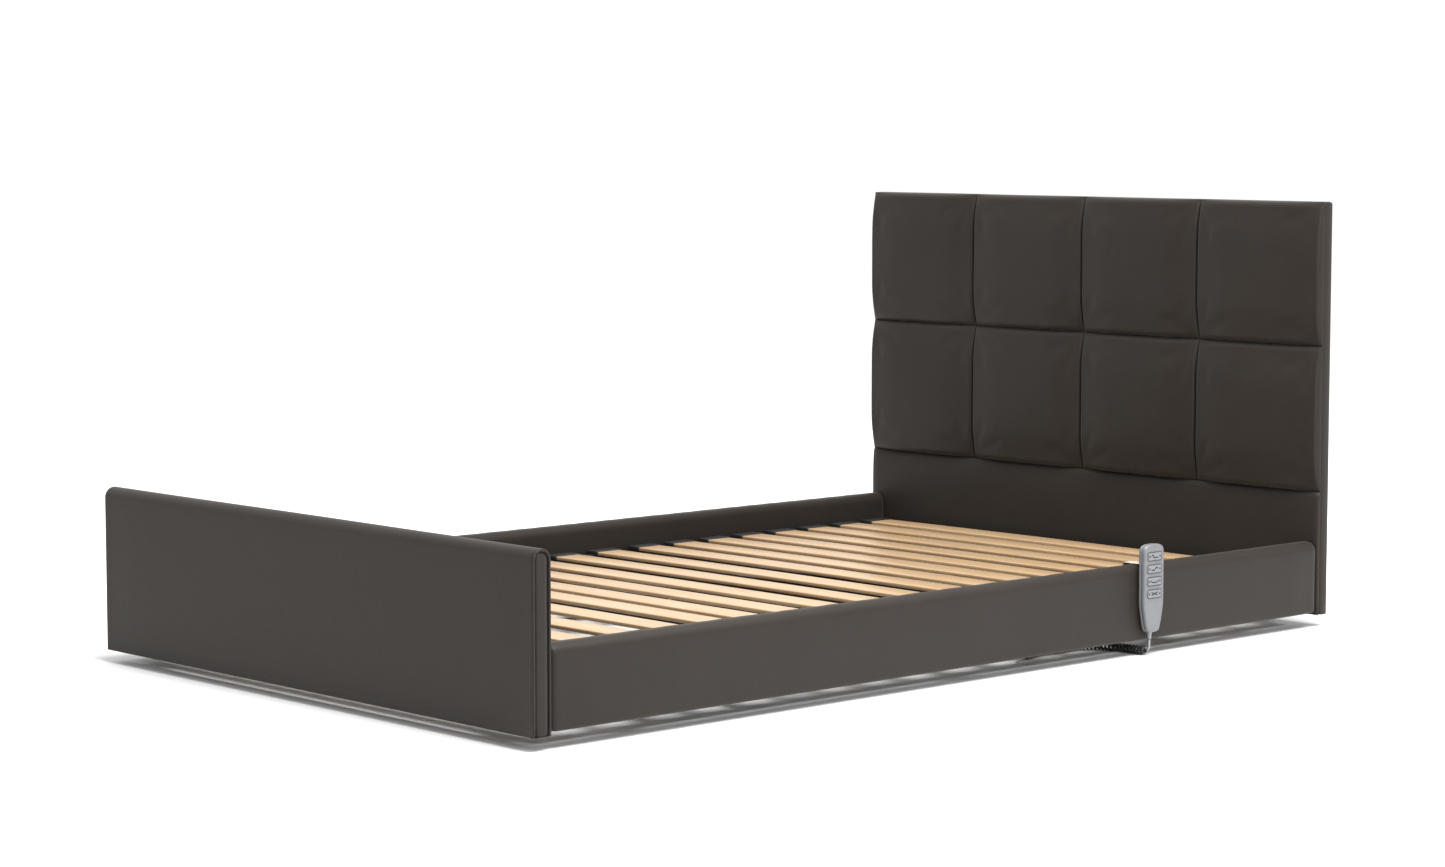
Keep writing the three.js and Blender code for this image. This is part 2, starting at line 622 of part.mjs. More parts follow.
function addCord(parent) {
  node(parent, 'cord_lead', tube(leadPath, leadRadius, 8, 7), leadPlastic);
  node(parent, 'cord_coil', tube(coilPath, coilRadius, 10, 20), blackPlastic);
  node(parent, 'cord_tail', tube(tailPath, leadRadius, 8, 14), blackPlastic);
  const plug = join(solidOf(new THREE.CylinderGeometry(4.6, 3.4, 9, 12).rotateX(Math.PI / 2)),
    solidOf(new THREE.CylinderGeometry(5.6, 5.6, 6, 12).rotateX(Math.PI / 2).translate(0, 0, 6)));
  node(parent, 'cord_plug', plug, blackPlastic, [563, 213.5, 39 + 4.5]);
  const socket = box([550, 576], [196, 231], [52.8, 60 - gap]);
  node(parent, 'handset_socket', socket, blackPlastic);
}

// ---- the whole bed ------------------------------------------------------------------------

const floorBase = group();
const outerScissor = group(floorBase);
const innerScissor = group(outerScissor);
const bedFrame = group(innerScissor);
const backSection = group(bedFrame);
const thighSection = group(bedFrame);
const calfSection = group(thighSection);
const driveGroup = group(bedFrame);
const handset = group(bedFrame);

addFloorFrame(floorBase);
addOuterScissor(outerScissor);
addInnerScissor(innerScissor);
for (const [side, sign] of [['right', 1], ['left', -1]]) {
  const floorX = sign > 0 ? [409, 427] : [-427, -409];
  const bedX = sign > 0 ? [469, 487] : [-487, -469];
  addRoller(innerScissor, `floor_roller_${side}`, floorX, lowPivotZ);
  addRoller(outerScissor, `bed_roller_${side}`, bedX, highPivotZ);
  addSideRail(bedFrame, side, sign);
}
addLiftActuator(floorBase);
addMainFrame(bedFrame);
addFootboard(bedFrame);
addHeadboard(bedFrame);
addDeck(bedFrame, backSection, thighSection, calfSection);
addDrive(driveGroup);
addSliders(driveGroup, driveGroup);
node(driveGroup, 'back_torque_tube', torqueTube(backShaftY, backArmLength, 1, backCrankSwing),
  zincSteel);
node(driveGroup, 'leg_torque_tube', torqueTube(legShaftY, legArmLength, -1, legCrankSwing),
  zincSteel);
addHandset(handset);
for (let row = 0; row < keyRows; row += 1) {
  addKey(handset, row);
}
addCord(bedFrame);

export default bed;
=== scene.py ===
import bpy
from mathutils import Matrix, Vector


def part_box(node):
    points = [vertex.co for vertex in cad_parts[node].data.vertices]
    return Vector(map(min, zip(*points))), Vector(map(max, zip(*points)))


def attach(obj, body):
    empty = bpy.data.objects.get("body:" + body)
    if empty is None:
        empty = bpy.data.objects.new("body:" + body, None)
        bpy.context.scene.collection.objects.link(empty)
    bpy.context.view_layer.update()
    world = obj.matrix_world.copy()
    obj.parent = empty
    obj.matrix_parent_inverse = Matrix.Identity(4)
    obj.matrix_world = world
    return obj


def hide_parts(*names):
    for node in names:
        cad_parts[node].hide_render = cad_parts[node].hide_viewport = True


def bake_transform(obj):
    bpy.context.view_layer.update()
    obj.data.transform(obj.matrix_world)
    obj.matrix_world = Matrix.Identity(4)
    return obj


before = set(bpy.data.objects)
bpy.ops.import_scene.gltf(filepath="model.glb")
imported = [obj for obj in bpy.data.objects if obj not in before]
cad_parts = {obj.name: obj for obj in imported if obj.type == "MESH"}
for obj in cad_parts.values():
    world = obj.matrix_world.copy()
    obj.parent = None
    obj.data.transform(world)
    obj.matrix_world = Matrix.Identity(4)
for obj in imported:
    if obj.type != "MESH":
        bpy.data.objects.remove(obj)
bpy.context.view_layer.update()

import math

import bmesh
import bpy
import numpy as np
from mathutils import Vector, noise

# All lengths are in metres: X across the bed, Y towards the headboard, Z up.
scene = bpy.context.scene
scene.view_settings.view_transform = "Standard"
scene.view_settings.gamma = 0.87
BED = "bed_frame"


# ---- camera -------------------------------------------------------------------------------

def make_camera():
    data = bpy.data.cameras.new("camera")
    data.sensor_width = 36
    data.lens = 85.16
    data.clip_end = 100
    camera = bpy.data.objects.new("camera", data)
    camera.location = (4.9433, -4.5698, 1.0402)
    camera.rotation_euler = (math.radians(90 - 5.2713), 0, math.radians(47.5143))
    scene.collection.objects.link(camera)
    scene.camera = camera


# ---- mesh helpers -------------------------------------------------------------------------

def add_mesh(name, verts, faces, material, smooth=True):
    """A linked object from points and faces, with its normals turned outwards."""
    data = bpy.data.meshes.new(name)
    data.from_pydata([tuple(v) for v in verts], [], faces)
    data.validate()
    obj = bpy.data.objects.new(name, data)
    scene.collection.objects.link(obj)
    data.materials.append(material)
    data.polygons.foreach_set("use_smooth", [smooth] * len(data.polygons))
    tidy_normals(obj)
    return obj


def tidy_normals(obj):
    """Welds double points and turns every face outwards."""
    bm = bmesh.new()
    bm.from_mesh(obj.data)
    bmesh.ops.remove_doubles(bm, verts=bm.verts, dist=1e-6)
    bmesh.ops.recalc_face_normals(bm, faces=bm.faces)
    bm.to_mesh(obj.data)
    bm.free()


def loft(name, rings, material, caps=True, smooth=True):
    """A skin through closed rings of points, all with the same count."""
    count = len(rings[0])
    verts = [p for ring in rings for p in ring]
    faces = []
    for i in range(len(rings) - 1):
        for j in range(count):
            k = (j + 1) % count
            faces.append((i * count + j, i * count + k, (i + 1) * count + k, (i + 1) * count + j))
    if caps:
        faces.append(tuple(reversed(range(count))))
        last = (len(rings) - 1) * count
        faces.append(tuple(range(last, last + count)))
    skin = add_mesh(name, verts, faces, material, smooth)
    for face in skin.data.polygons:
        if len(face.vertices) > 4:
            face.use_smooth = False
    return skin


def apply_modifiers(obj):
    """Bakes an object's modifiers into its mesh."""
    graph = bpy.context.evaluated_depsgraph_get()
    data = bpy.data.meshes.new_from_object(obj.evaluated_get(graph))
    obj.modifiers.clear()
    old = obj.data
    obj.data = data
    bpy.data.meshes.remove(old)


def subdivide(obj, levels=1):
    modifier = obj.modifiers.new("subsurf", "SUBSURF")
    modifier.levels = levels
    modifier.render_levels = levels
    apply_modifiers(obj)


def bevel(obj, width, segments=3, angle=35):
    modifier = obj.modifiers.new("bevel", "BEVEL")
    modifier.width = width
    modifier.segments = segments
    modifier.limit_method = "ANGLE"
    modifier.angle_limit = math.radians(angle)
    modifier.harden_normals = False
    apply_modifiers(obj)


def box_mesh(name, low, high, material, width=0.001, segments=2):
    """A box with rolled edges."""
    corners = [(x, y, z) for x in (low[0], high[0]) for y in (low[1], high[1])
               for z in (low[2], high[2])]
    faces = [(0, 1, 3, 2), (4, 6, 7, 5), (0, 4, 5, 1), (2, 3, 7, 6), (0, 2, 6, 4), (1, 5, 7, 3)]
    obj = add_mesh(name, corners, faces, material, smooth=False)
    bevel(obj, width, segments)
    obj.data.polygons.foreach_set("use_smooth", [True] * len(obj.data.polygons))
    return obj


def join_objects(name, objects):
    """One piece from several meshes, each still a closed body of its own."""
    materials = []
    bm = bmesh.new()
    for obj in objects:
        start = len(bm.faces)
        bm.from_mesh(obj.data)
        bm.faces.ensure_lookup_table()
        own = list(obj.data.materials)
        materials += [material for material in own if material not in materials]
        for face in bm.faces[start:]:
            face.material_index = materials.index(own[face.material_index])
    data = bpy.data.meshes.new(name)
    bm.to_mesh(data)
    bm.free()
    for material in materials:
        data.materials.append(material)
    for obj in objects:
        bpy.data.objects.remove(obj)
    joined = bpy.data.objects.new(name, data)
    scene.collection.objects.link(joined)
    return joined


def tube(name, path, radius, material, sides=12, closed=False):
    """A round tube along points, with a frame that is carried along without twist."""
    points = [Vector(p) for p in path]
    count = len(points)
    rings = []
    normal = None
    for i, point in enumerate(points):
        before = points[i - 1] if i or closed else point
        after = points[(i + 1) % count] if i < count - 1 or closed else point
        tangent = (after - before).normalized()
        if normal is None:
            normal = tangent.orthogonal().normalized()
        normal = (normal - tangent * normal.dot(tangent)).normalized()
        side = tangent.cross(normal)
        size = radius(i / (count - 1)) if callable(radius) else radius
        rings.append([point + (normal * math.cos(a) + side * math.sin(a)) * size
                      for a in (2 * math.pi * k / sides for k in range(sides))])
    if closed:
        rings.append(rings[0])
    return loft(name, rings, material, caps=not closed)


def spline(points, steps):
    """Evenly sampled Catmull-Rom curve through points."""
    control = [Vector(p) for p in points]
    control = [2 * control[0] - control[1]] + control + [2 * control[-1] - control[-2]]
    span_steps = 24
    dense = []
    for i in range(1, len(control) - 2):
        a, b, c, d = control[i - 1:i + 3]
        for k in range(span_steps):
            t = k / span_steps
            dense.append(0.5 * (2 * b + (c - a) * t + (2 * a - 5 * b + 4 * c - d) * t * t
                                + (3 * b - a - 3 * c + d) * t ** 3))
    dense.append(control[-2])
    lengths = np.concatenate([[0], np.cumsum([(q - p).length for p, q in zip(dense, dense[1:])])])
    targets = np.linspace(0, lengths[-1], steps)
    coords = np.array([tuple(p) for p in dense])
    return [Vector(p) for p in np.stack([np.interp(targets, lengths, coords[:, k])
                                         for k in range(3)], axis=1)]


def round_section(corners, radius, steps, turn):
    """Corner arcs of a section: each corner has its centre and its first angle in degrees."""
    points = []
    for across, up, start in corners:
        for k in range(steps):
            a = math.radians(start + turn * k)
            points.append((across + radius * math.cos(a), up + radius * math.sin(a)))
    return points


def smoothstep(t):
    """A soft step from 0 to 1, flat at both ends."""
    t = min(max(t, 0.0), 1.0)
    return t * t * (3 - 2 * t)


# ---- materials ----------------------------------------------------------------------------

class Shader:
    """A node material built from short calls."""

    def __init__(self, name, roughness=0.5, metallic=0.0):
        self.material = bpy.data.materials.new(name)
        self.material.use_nodes = True
        self.tree = self.material.node_tree
        self.surface = self.tree.nodes["Principled BSDF"]
        self.surface.inputs["Roughness"].default_value = roughness
        self.surface.inputs["Metallic"].default_value = metallic
        self.place = self.node("ShaderNodeTexCoord").outputs["Object"]

    def node(self, kind, inputs=None, **settings):
        made = self.tree.nodes.new(kind)
        for key, value in settings.items():
            setattr(made, key, value)
        for key, value in (inputs or {}).items():
            if isinstance(value, bpy.types.NodeSocket):
                self.tree.links.new(value, made.inputs[key])
            else:
                made.inputs[key].default_value = value
        return made

    def scaled(self, scale, rotation=(0, 0, 0)):
        mapping = self.node("ShaderNodeMapping", {"Vector": self.place})
        mapping.inputs["Scale"].default_value = scale
        mapping.inputs["Rotation"].default_value = rotation
        return mapping.outputs["Vector"]

    def noise(self, scale, detail=3, roughness=0.5, vector=None, distortion=0.0):
        made = self.node("ShaderNodeTexNoise", {"Vector": vector or self.place, "Scale": scale,
                                                "Detail": detail, "Roughness": roughness,
                                                "Distortion": distortion})
        return made.outputs["Fac"]

    def cells(self, scale, feature="F1", vector=None):
        made = self.node("ShaderNodeTexVoronoi", {"Vector": vector or self.place, "Scale": scale},
                         feature=feature)
        return made.outputs["Distance"]

    def math(self, operation, a, b=0.0, clamp=False):
        made = self.node("ShaderNodeMath", {0: a, 1: b}, operation=operation, use_clamp=clamp)
        return made.outputs[0]

    def length(self):
        return self.node("ShaderNodeVectorMath", {0: self.place}, operation="LENGTH").outputs[1]

    def ramp(self, value, *stops):
        made = self.node("ShaderNodeValToRGB", {"Fac": value})
        ramp = made.color_ramp
        while len(ramp.elements) < len(stops):
            ramp.elements.new(0.5)
        for element, (place, color) in zip(ramp.elements, stops):
            element.position = place
            element.color = (*color, 1) if isinstance(color, tuple) else (color,) * 3 + (1,)
        return made.outputs["Color"]

    def mix(self, factor, a, b):
        made = self.node("ShaderNodeMix", data_type="RGBA")
        for key, value in ((0, factor), (6, a), (7, b)):
            if isinstance(value, bpy.types.NodeSocket):
                self.tree.links.new(value, made.inputs[key])
            else:
                made.inputs[key].default_value = value if key == 0 else (*value, 1)
        return made.outputs[2]

    def spread(self, value, low, high):
        made = self.node("ShaderNodeMapRange", {"Value": value, "To Min": low, "To Max": high})
        return made.outputs["Result"]

    def bump(self, height, strength, distance, below=None):
        made = self.node("ShaderNodeBump", {"Height": height, "Strength": strength,
                                            "Distance": distance})
        if below:
            self.tree.links.new(below, made.inputs["Normal"])
        return made.outputs["Normal"]

    def use(self, **sockets):
        for key, value in sockets.items():
            self.tree.links.new(value, self.surface.inputs[key.replace("_", " ")])
        return self.material


def leather(name, dark, light):
    """Coated leather cloth with a pebble grain, fine pores and faint creases."""
    s = Shader(name, 0.46)
    s.surface.inputs["Specular IOR Level"].default_value = 0.25
    s.surface.inputs["Sheen Weight"].default_value = 0.13
    s.surface.inputs["Sheen Roughness"].default_value = 0.45
    s.surface.inputs["Sheen Tint"].default_value = (0.95, 0.9, 0.85, 1)
    warped = s.noise(260, 2)
    pebble = s.cells(620, "SMOOTH_F1")
    grain = s.math("ADD", s.math("MULTIPLY", pebble, 0.9), s.math("MULTIPLY", warped, 0.6))
    cloud = s.noise(3.5, 4, 0.55)
    fleck = s.noise(900, 1)
    tone = s.mix(s.ramp(cloud, (0.35, 0.0), (0.7, 1.0)), dark, light)
    worn = s.mix(s.ramp(pebble, (0.0, 0.28), (0.5, 0.0)), tone, tuple(1.5 * c for c in light))
    base = s.mix(s.spread(fleck, 0.0, 0.12), worn, tuple(0.5 * c for c in dark))
    rough = s.spread(s.math("ADD", s.math("MULTIPLY", pebble, 0.5), cloud), 0.38, 0.56)
    creases = s.bump(s.noise(24, 5, 0.6, distortion=0.6), 0.06, 0.004)
    normal = s.bump(grain, 0.30, 0.0007, creases)
    return s.use(Base_Color=base, Roughness=rough, Normal=normal)


def birch(name, edge=False):
    """Lacquered birch with long grain along X; an edge shows its plies."""
    s = Shader(name, 0.38)
    s.surface.inputs["Coat Weight"].default_value = 0.25
    s.surface.inputs["Coat Roughness"].default_value = 0.25
    along = s.scaled((2.2, 34, 34))
    figure = s.noise(1.6, 6, 0.62, along, 1.4)
    fibre = s.noise(9, 4, 0.7, s.scaled((5, 260, 260)))
    patch = s.noise(2.2, 2, 0.5, s.scaled((1.2, 9, 1)))
    wood = s.ramp(figure, (0.25, (0.31, 0.20, 0.11)), (0.5, (0.395, 0.28, 0.17)),
                  (0.78, (0.46, 0.355, 0.23)))
    tinted = s.mix(s.spread(patch, 0.0, 0.5), wood, (0.36, 0.25, 0.145))
    base = s.mix(s.ramp(fibre, (0.5, 0.0), (0.8, 0.35)), tinted, (0.36, 0.22, 0.11))
    if edge:
        height = s.node("ShaderNodeSeparateXYZ", {"Vector": s.place}).outputs["Z"]
        plies = s.math("GREATER_THAN", s.math("FRACT", s.math("MULTIPLY", height, 620)), 0.55)
        base = s.mix(s.math("MULTIPLY", plies, 0.65), base, (0.33, 0.2, 0.1))
    rough = s.spread(fibre, 0.3, 0.5)
    return s.use(Base_Color=base, Roughness=rough, Normal=s.bump(fibre, 0.12, 0.0006))


def powder_coat(name, dark, light):
    """Powder coated steel: orange peel, faint dust and rubbed spots."""
    s = Shader(name, 0.48)
    s.surface.inputs["Specular IOR Level"].default_value = 0.5
    peel = s.noise(420, 3, 0.6)
    rubbed = s.ramp(s.noise(18, 6, 0.7), (0.62, 0.0), (0.74, 1.0))
    base = s.mix(s.spread(s.noise(5, 3), 0.0, 1.0), dark, light)
    base = s.mix(s.math("MULTIPLY", rubbed, 0.35), base, tuple(2.4 * c for c in light))
    rough = s.spread(s.noise(30, 4), 0.4, 0.58)
    return s.use(Base_Color=base, Roughness=rough, Normal=s.bump(peel, 0.22, 0.0005))


def zinc(name):
    """Bright zinc plate with faint crystals and drawing streaks."""
    s = Shader(name, 0.3, 1.0)
    crystals = s.cells(90)
    streak = s.noise(14, 5, 0.65, s.scaled((4, 60, 60)))
    base = s.ramp(crystals, (0.1, (0.52, 0.54, 0.56)), (0.8, (0.68, 0.69, 0.68)))
    return s.use(Base_Color=base, Roughness=s.spread(streak, 0.22, 0.45),
                 Normal=s.bump(streak, 0.12, 0.0004))


def moulded(name, color, rough=0.42, texture=1400, strength=0.18):
    """Moulded plastic with a fine spark-eroded skin and slight handling marks."""
    s = Shader(name, rough)
    skin = s.noise(texture, 2, 0.6)
    wear = s.noise(22, 5, 0.65)
    base = s.mix(s.spread(wear, 0.0, 1.0), tuple(0.86 * c for c in color),
                 tuple(min(1.1 * c, 1) for c in color))
    return s.use(Base_Color=base, Roughness=s.spread(wear, rough - 0.08, rough + 0.1),
                 Normal=s.bump(skin, strength, 0.00025))


def rubber(name, color=(0.012, 0.012, 0.012)):
    """Dull black rubber with some dust."""
    s = Shader(name, 0.75)
    dust = s.noise(60, 5, 0.7)
    base = s.mix(s.ramp(dust, (0.55, 0.0), (0.85, 0.5)), color, tuple(4 * c for c in color))
    return s.use(Base_Color=base, Normal=s.bump(s.noise(700, 2), 0.3, 0.0004))


def felt(name):
    """Black non-woven cloth on the underside of the upholstery."""
    s = Shader(name, 0.9)
    fibres = s.noise(500, 6, 0.8, distortion=2.0)
    base = s.ramp(fibres, (0.35, (0.008, 0.008, 0.009)), (0.75, (0.03, 0.03, 0.032)))
    return s.use(Base_Color=base, Normal=s.bump(fibres, 0.5, 0.0008))


LEATHER = leather("surround_leather", (0.0174, 0.0132, 0.0103), (0.0224, 0.0178, 0.0145))
WELT = leather("welt_leather", (0.018, 0.0142, 0.0115), (0.0235, 0.019, 0.0158))
BIRCH = birch("slat_birch")
BIRCH_EDGE = birch("slat_birch_edge", edge=True)
STEEL = powder_coat("graphite_powder_coat", (0.030, 0.032, 0.035), (0.044, 0.047, 0.052))
ZINC = zinc("zinc_plate")
BLACK = moulded("black_plastic", (0.014, 0.014, 0.015))
HOLDER = moulded("holder_plastic", (0.02, 0.02, 0.021), 0.5)
RUBBER = rubber("foot_rubber")
FELT = felt("underside_felt")
SILVER = moulded("handset_silver", (0.154, 0.158, 0.166), 0.36, 1800, 0.1)
KEY = moulded("handset_key", (0.182, 0.186, 0.195), 0.45, 1500, 0.14)
INK = moulded("pictogram_ink", (0.02, 0.022, 0.026), 0.5)
CREAM = moulded("strap_cream", (0.44, 0.41, 0.36), 0.42)
LEAD = moulded("lead_grey", (0.27, 0.275, 0.28), 0.45)
JACKET = moulded("cord_jacket", (0.026, 0.026, 0.028), 0.27, 900, 0.1)


# ---- cord ---------------------------------------------------------------------------------

MM = 0.001
HANDSET_Y = 480 * MM
CORD_X = 656.5 * MM
WIRE = 2.25 * MM
COIL_RADIUS = 9 * MM
COIL_Z = COIL_RADIUS + 0.3 * MM
LEAD_POINTS = [(656.5, 480, 33.6), (656.5, 480, 27), (656.3, 480, 21), (655.6, 480, 16.5),
               (654, 480, 12.6), (652, 480, 9.7)]
COIL_POINTS = [(649.8, 480), (630, 479), (600, 477), (570, 473), (545, 464), (527, 447),
               (518, 424), (515, 395), (515, 360), (516, 325), (520, 292), (526, 262)]
TAIL_POINTS = [(526.4, 261.2, 9.3), (529, 250, 8), (533, 238, 7), (540, 227, 8),
               (549, 220, 13), (557, 216, 21), (562, 214, 30), (563, 213.5, 38.7)]
COIL_TURNS = 40
TURN_STEPS = 16
LEAD_ENDS_X = 652.5 * MM


def coil_path():
    """The helix of the curly stretch, wound round the coil's own centreline."""
    middle = spline([(x * MM, y * MM, COIL_Z) for x, y in COIL_POINTS], COIL_TURNS * TURN_STEPS)
    wind = COIL_RADIUS - WIRE
    points = []
    for i, point in enumerate(middle):
        tangent = (middle[min(i + 1, len(middle) - 1)] - middle[max(i - 1, 0)]).normalized()
        side = tangent.cross(Vector((0, 0, 1))).normalized()
        up = side.cross(tangent)
        ease = min(smoothstep(i / 14), smoothstep((len(middle) - 1 - i) / 14))
        angle = 2 * math.pi * i / TURN_STEPS
        points.append(point + (side * math.sin(angle) + up * math.cos(angle)) * wind * ease)
    return points


def make_cord():
    """The whole cord as one tube: a grey lead, a dark coil and a tail up to its plug."""
    lead = spline([(x * MM, y * MM, z * MM) for x, y, z in LEAD_POINTS], 14)
    tail = spline([(x * MM, y * MM, z * MM) for x, y, z in TAIL_POINTS], 30)
    path = lead[:-1] + coil_path() + tail[1:]
    path = spline(path, 3 * len(path) // 4)
    piece = tube("handset_cord", path, WIRE, JACKET, 8)
    piece.data.materials.append(LEAD)
    for face in piece.data.polygons:
        face.material_index = int(face.center.x > LEAD_ENDS_X)
    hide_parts("cord_lead", "cord_coil", "cord_tail")
    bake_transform(piece)


# ---- upholstery ---------------------------------------------------------------------------

def inflate(obj, pinned, share, pressure=3.0, cap=0.004, frames=20):
    """Swells a padded skin by cloth simulation; a point moves by its share, up to cap."""
    start = np.array([v.co[:] for v in obj.data.vertices])
    group = obj.vertex_groups.new(name="pin")
    group.add([v.index for v in obj.data.vertices if pinned(v.co)], 1.0, "REPLACE")
    cloth = obj.modifiers.new("cloth", "CLOTH")
    settings = cloth.settings
    settings.quality = 5
    settings.mass = 0.3
    settings.tension_stiffness = 12
    settings.compression_stiffness = 12
    settings.shear_stiffness = 5
    settings.bending_stiffness = 0.6
    settings.use_pressure = True
    settings.uniform_pressure_force = pressure
    settings.vertex_group_mass = "pin"
    settings.effector_weights.gravity = 0
    cloth.collision_settings.use_collision = False
    cloth.collision_settings.use_self_collision = False
    for number in range(1, frames + 1):
        scene.frame_set(number)
    apply_modifiers(obj)
    scene.frame_set(1)
    moved = np.array([v.co[:] for v in obj.data.vertices]) - start
    length = np.linalg.norm(moved, axis=1)
    scale = np.where(length > cap, cap / np.maximum(length, 1e-9), 1.0)
    scale *= np.array([share(Vector(place)) for place in start])
    obj.data.vertices.foreach_set("co", (start + moved * scale[:, None]).ravel())
    obj.vertex_groups.clear()


SIDE_ROLL = 0.007
SEAM_ROLL = 0.012
CORNER_REACH_X = 0.10
CORNER_REACH_Z = 0.085
CORNER_DRAW = 0.92
EDGE_SHARE = 0.03
PAD_SHARE = 0.72
CROWN_SHARE = 0.20


def roll(distance, radius):
    """The height of a rolled edge, from 0 at the seam to 1 at a radius inside it."""
    return math.sqrt(1 - (1 - min(distance / radius, 1)) ** 2)


def pad_rise(to_side, to_level):
    """How full a pad is, from 0 to 1: rolled at its edges, drawn in at its corners."""
    near_side = (1 - min(to_side / CORNER_REACH_X, 1)) ** 2
    near_level = (1 - min(to_level / CORNER_REACH_Z, 1)) ** 2
    full = roll(to_side, SIDE_ROLL) * roll(to_level, SEAM_ROLL)
    return full * (1 - CORNER_DRAW * near_side * near_level)


def tile_skin(width, height, depth):
    """One pad about its own middle, its back on y = 0: steep flanks, drawn-in corners."""
    columns, rows = 64, 60
    across = [math.sin(math.pi / 2 * (2 * i / columns - 1)) for i in range(columns + 1)]
    upward = [math.sin(math.pi / 2 * (2 * j / rows - 1)) for j in range(rows + 1)]
    verts = []
    for v in upward:
        for u in across:
            rise = pad_rise(width / 2 * (1 - abs(u)), height / 2 * (1 - abs(v)))
            crown = (1 - u * u) * (1 - v * v)
            y = -depth * (EDGE_SHARE + PAD_SHARE * rise + CROWN_SHARE * crown)
            verts.append((u * width / 2, y, v * height / 2))
    stride = columns + 1
    faces = [(a, a + 1, a + 1 + stride, a + stride)
             for a in (j * stride + i for j in range(rows) for i in range(columns))]
    edge = list(range(stride))
    edge += [j * stride + columns for j in range(1, rows + 1)]
    edge += [rows * stride + i for i in range(columns - 1, -1, -1)]
    edge += [j * stride for j in range(rows - 1, 0, -1)]
    base = len(verts)
    verts += [(verts[i][0], 0, verts[i][2]) for i in edge]
    for k, corner in enumerate(edge):
        n = (k + 1) % len(edge)
        faces.append((corner, base + k, base + n, edge[n]))
    faces.append(tuple(range(base, base + len(edge))))
    skin = add_mesh("tile_skin", verts, faces, LEATHER)

    def open_field(place):
        to_edge = min(width / 2 - abs(place.x), height / 2 - abs(place.z))
        return smoothstep(to_edge / CORNER_REACH_Z)

    inflate(skin, lambda place: place.y > -0.001, open_field)
    return skin


def make_tiles():
    """Two rows of four pads; the pads of a row share a skin, and each has its own softness."""
    for row in ("lower", "upper"):
        skin = None
        for column in range(1, 5):
            node = f"headboard_tile_{row}_{column}"
            low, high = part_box(node)
            size = [high[k] - low[k] for k in range(3)]
            middle = Vector(((low[0] + high[0]) / 2, high[1], (low[2] + high[2]) / 2))
            if skin is None:
                skin = tile_skin(size[0], size[2], size[1])
            pad = bpy.data.objects.new(f"tile_pad_{row}_{column}", skin.data.copy())
            scene.collection.objects.link(pad)
            for vert in pad.data.vertices:
                place = vert.co + middle
                full = smoothstep(-vert.co.y / (0.5 * size[1]))
                soft = noise.noise(Vector((place.x * 8, place.z * 8, column)))
                ripple = noise.noise(Vector((place.x * 30, place.z * 22, 3.0 + column)))
                vert.co = place - Vector((0, full * (0.0011 * soft + 0.00025 * ripple), 0))
            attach(pad, BED)
            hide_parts(node)
        bpy.data.objects.remove(skin)


RAIL_TOP_RADIUS = 0.019
RAIL_OUTER_FOOT = 0.006
RAIL_INNER_FOOT = 0.004
RAIL_END_RADIUS = 0.011


def rail_profile(low, high, outward):
    """The rail's section as (x, z) points: flat inside and below, bullnose on top."""
    inner, outer = (low[0], high[0]) if outward > 0 else (high[0], low[0])
    bottom, top = low[2], high[2]
    radius = RAIL_TOP_RADIUS
    span = outward * (outer - inner)
    outer_flat = top - bottom - RAIL_OUTER_FOOT - radius
    inner_flat = top - bottom - RAIL_INNER_FOOT - radius
    under = span - RAIL_INNER_FOOT - RAIL_OUTER_FOOT
    points = []

    def arc(center_x, center_z, r, start, end, steps):
        for k in range(steps + 1):
            a = math.radians(start + (end - start) * k / steps)
            points.append((center_x + outward * r * math.cos(a), center_z + r * math.sin(a)))

    arc(outer - outward * RAIL_OUTER_FOOT, bottom + RAIL_OUTER_FOOT, RAIL_OUTER_FOOT, -90, 0, 5)
    for k in range(1, 10):
        points.append((outer, bottom + RAIL_OUTER_FOOT + outer_flat * k / 10))
    arc(outer - outward * radius, top - radius, radius, 0, 90, 8)
    arc(inner + outward * radius, top - radius, radius, 90, 180, 8)
    for k in range(1, 8):
        points.append((inner, top - radius - inner_flat * k / 8))
    arc(inner + outward * RAIL_INNER_FOOT, bottom + RAIL_INNER_FOOT, RAIL_INNER_FOOT, 180, 270, 3)
    for k in range(1, 4):
        points.append((inner + outward * (RAIL_INNER_FOOT + under * k / 4), bottom))
    return points


def rail_places(length):
    """Where the rail's rings stand: close together on the rounded ends."""
    ends = [0, 0.0006, 0.002, 0.004, 0.007, RAIL_END_RADIUS]
    inner = np.linspace(RAIL_END_RADIUS, length - RAIL_END_RADIUS, 150)[1:-1]
    return ends + list(inner) + [length - end for end in reversed(ends)]


def rail_ring(profile, low, high, outward, distance):
    """The padded section at a distance along the rail, with its belly and soft waves."""
    near = min(distance, high[1] - low[1] - distance)
    shrink = 0.0
    if near < RAIL_END_RADIUS:
        chord = max(RAIL_END_RADIUS ** 2 - (RAIL_END_RADIUS - near) ** 2, 0)
        shrink = RAIL_END_RADIUS - math.sqrt(chord)
    half_x, half_z = (high[0] - low[0]) / 2, (high[2] - low[2]) / 2
    middle_x, middle_z = (low[0] + high[0]) / 2, (low[2] + high[2]) / 2
    y = low[1] + distance
    ring = []
    for x, z in profile:
        outer = 1.0 if outward * (x - middle_x) > 0.3 * half_x else 0.0
        level = (z - low[2]) / (high[2] - low[2])
        belly = 0.0028 * outer * (1 - (2 * level - 0.9) ** 2) * smoothstep(near / 0.09)
        soft = 0.0009 * noise.noise(Vector((y * 3.1, z * 14, outward * 2.0)))
        tug = 0.00025 * math.sin(y * 95 + 9 * noise.noise(Vector((y * 2, 0, 5))))
        tug *= smoothstep((level - 0.8) / 0.2) * smoothstep(near / 0.1)
        ring.append((middle_x + (x - middle_x) * (half_x - shrink) / half_x
                     + outward * (belly + soft * outer), y,
                     middle_z + (z - middle_z) * (half_z - shrink * 0.8) / half_z
                     + tug + soft * 0.6))
    return ring


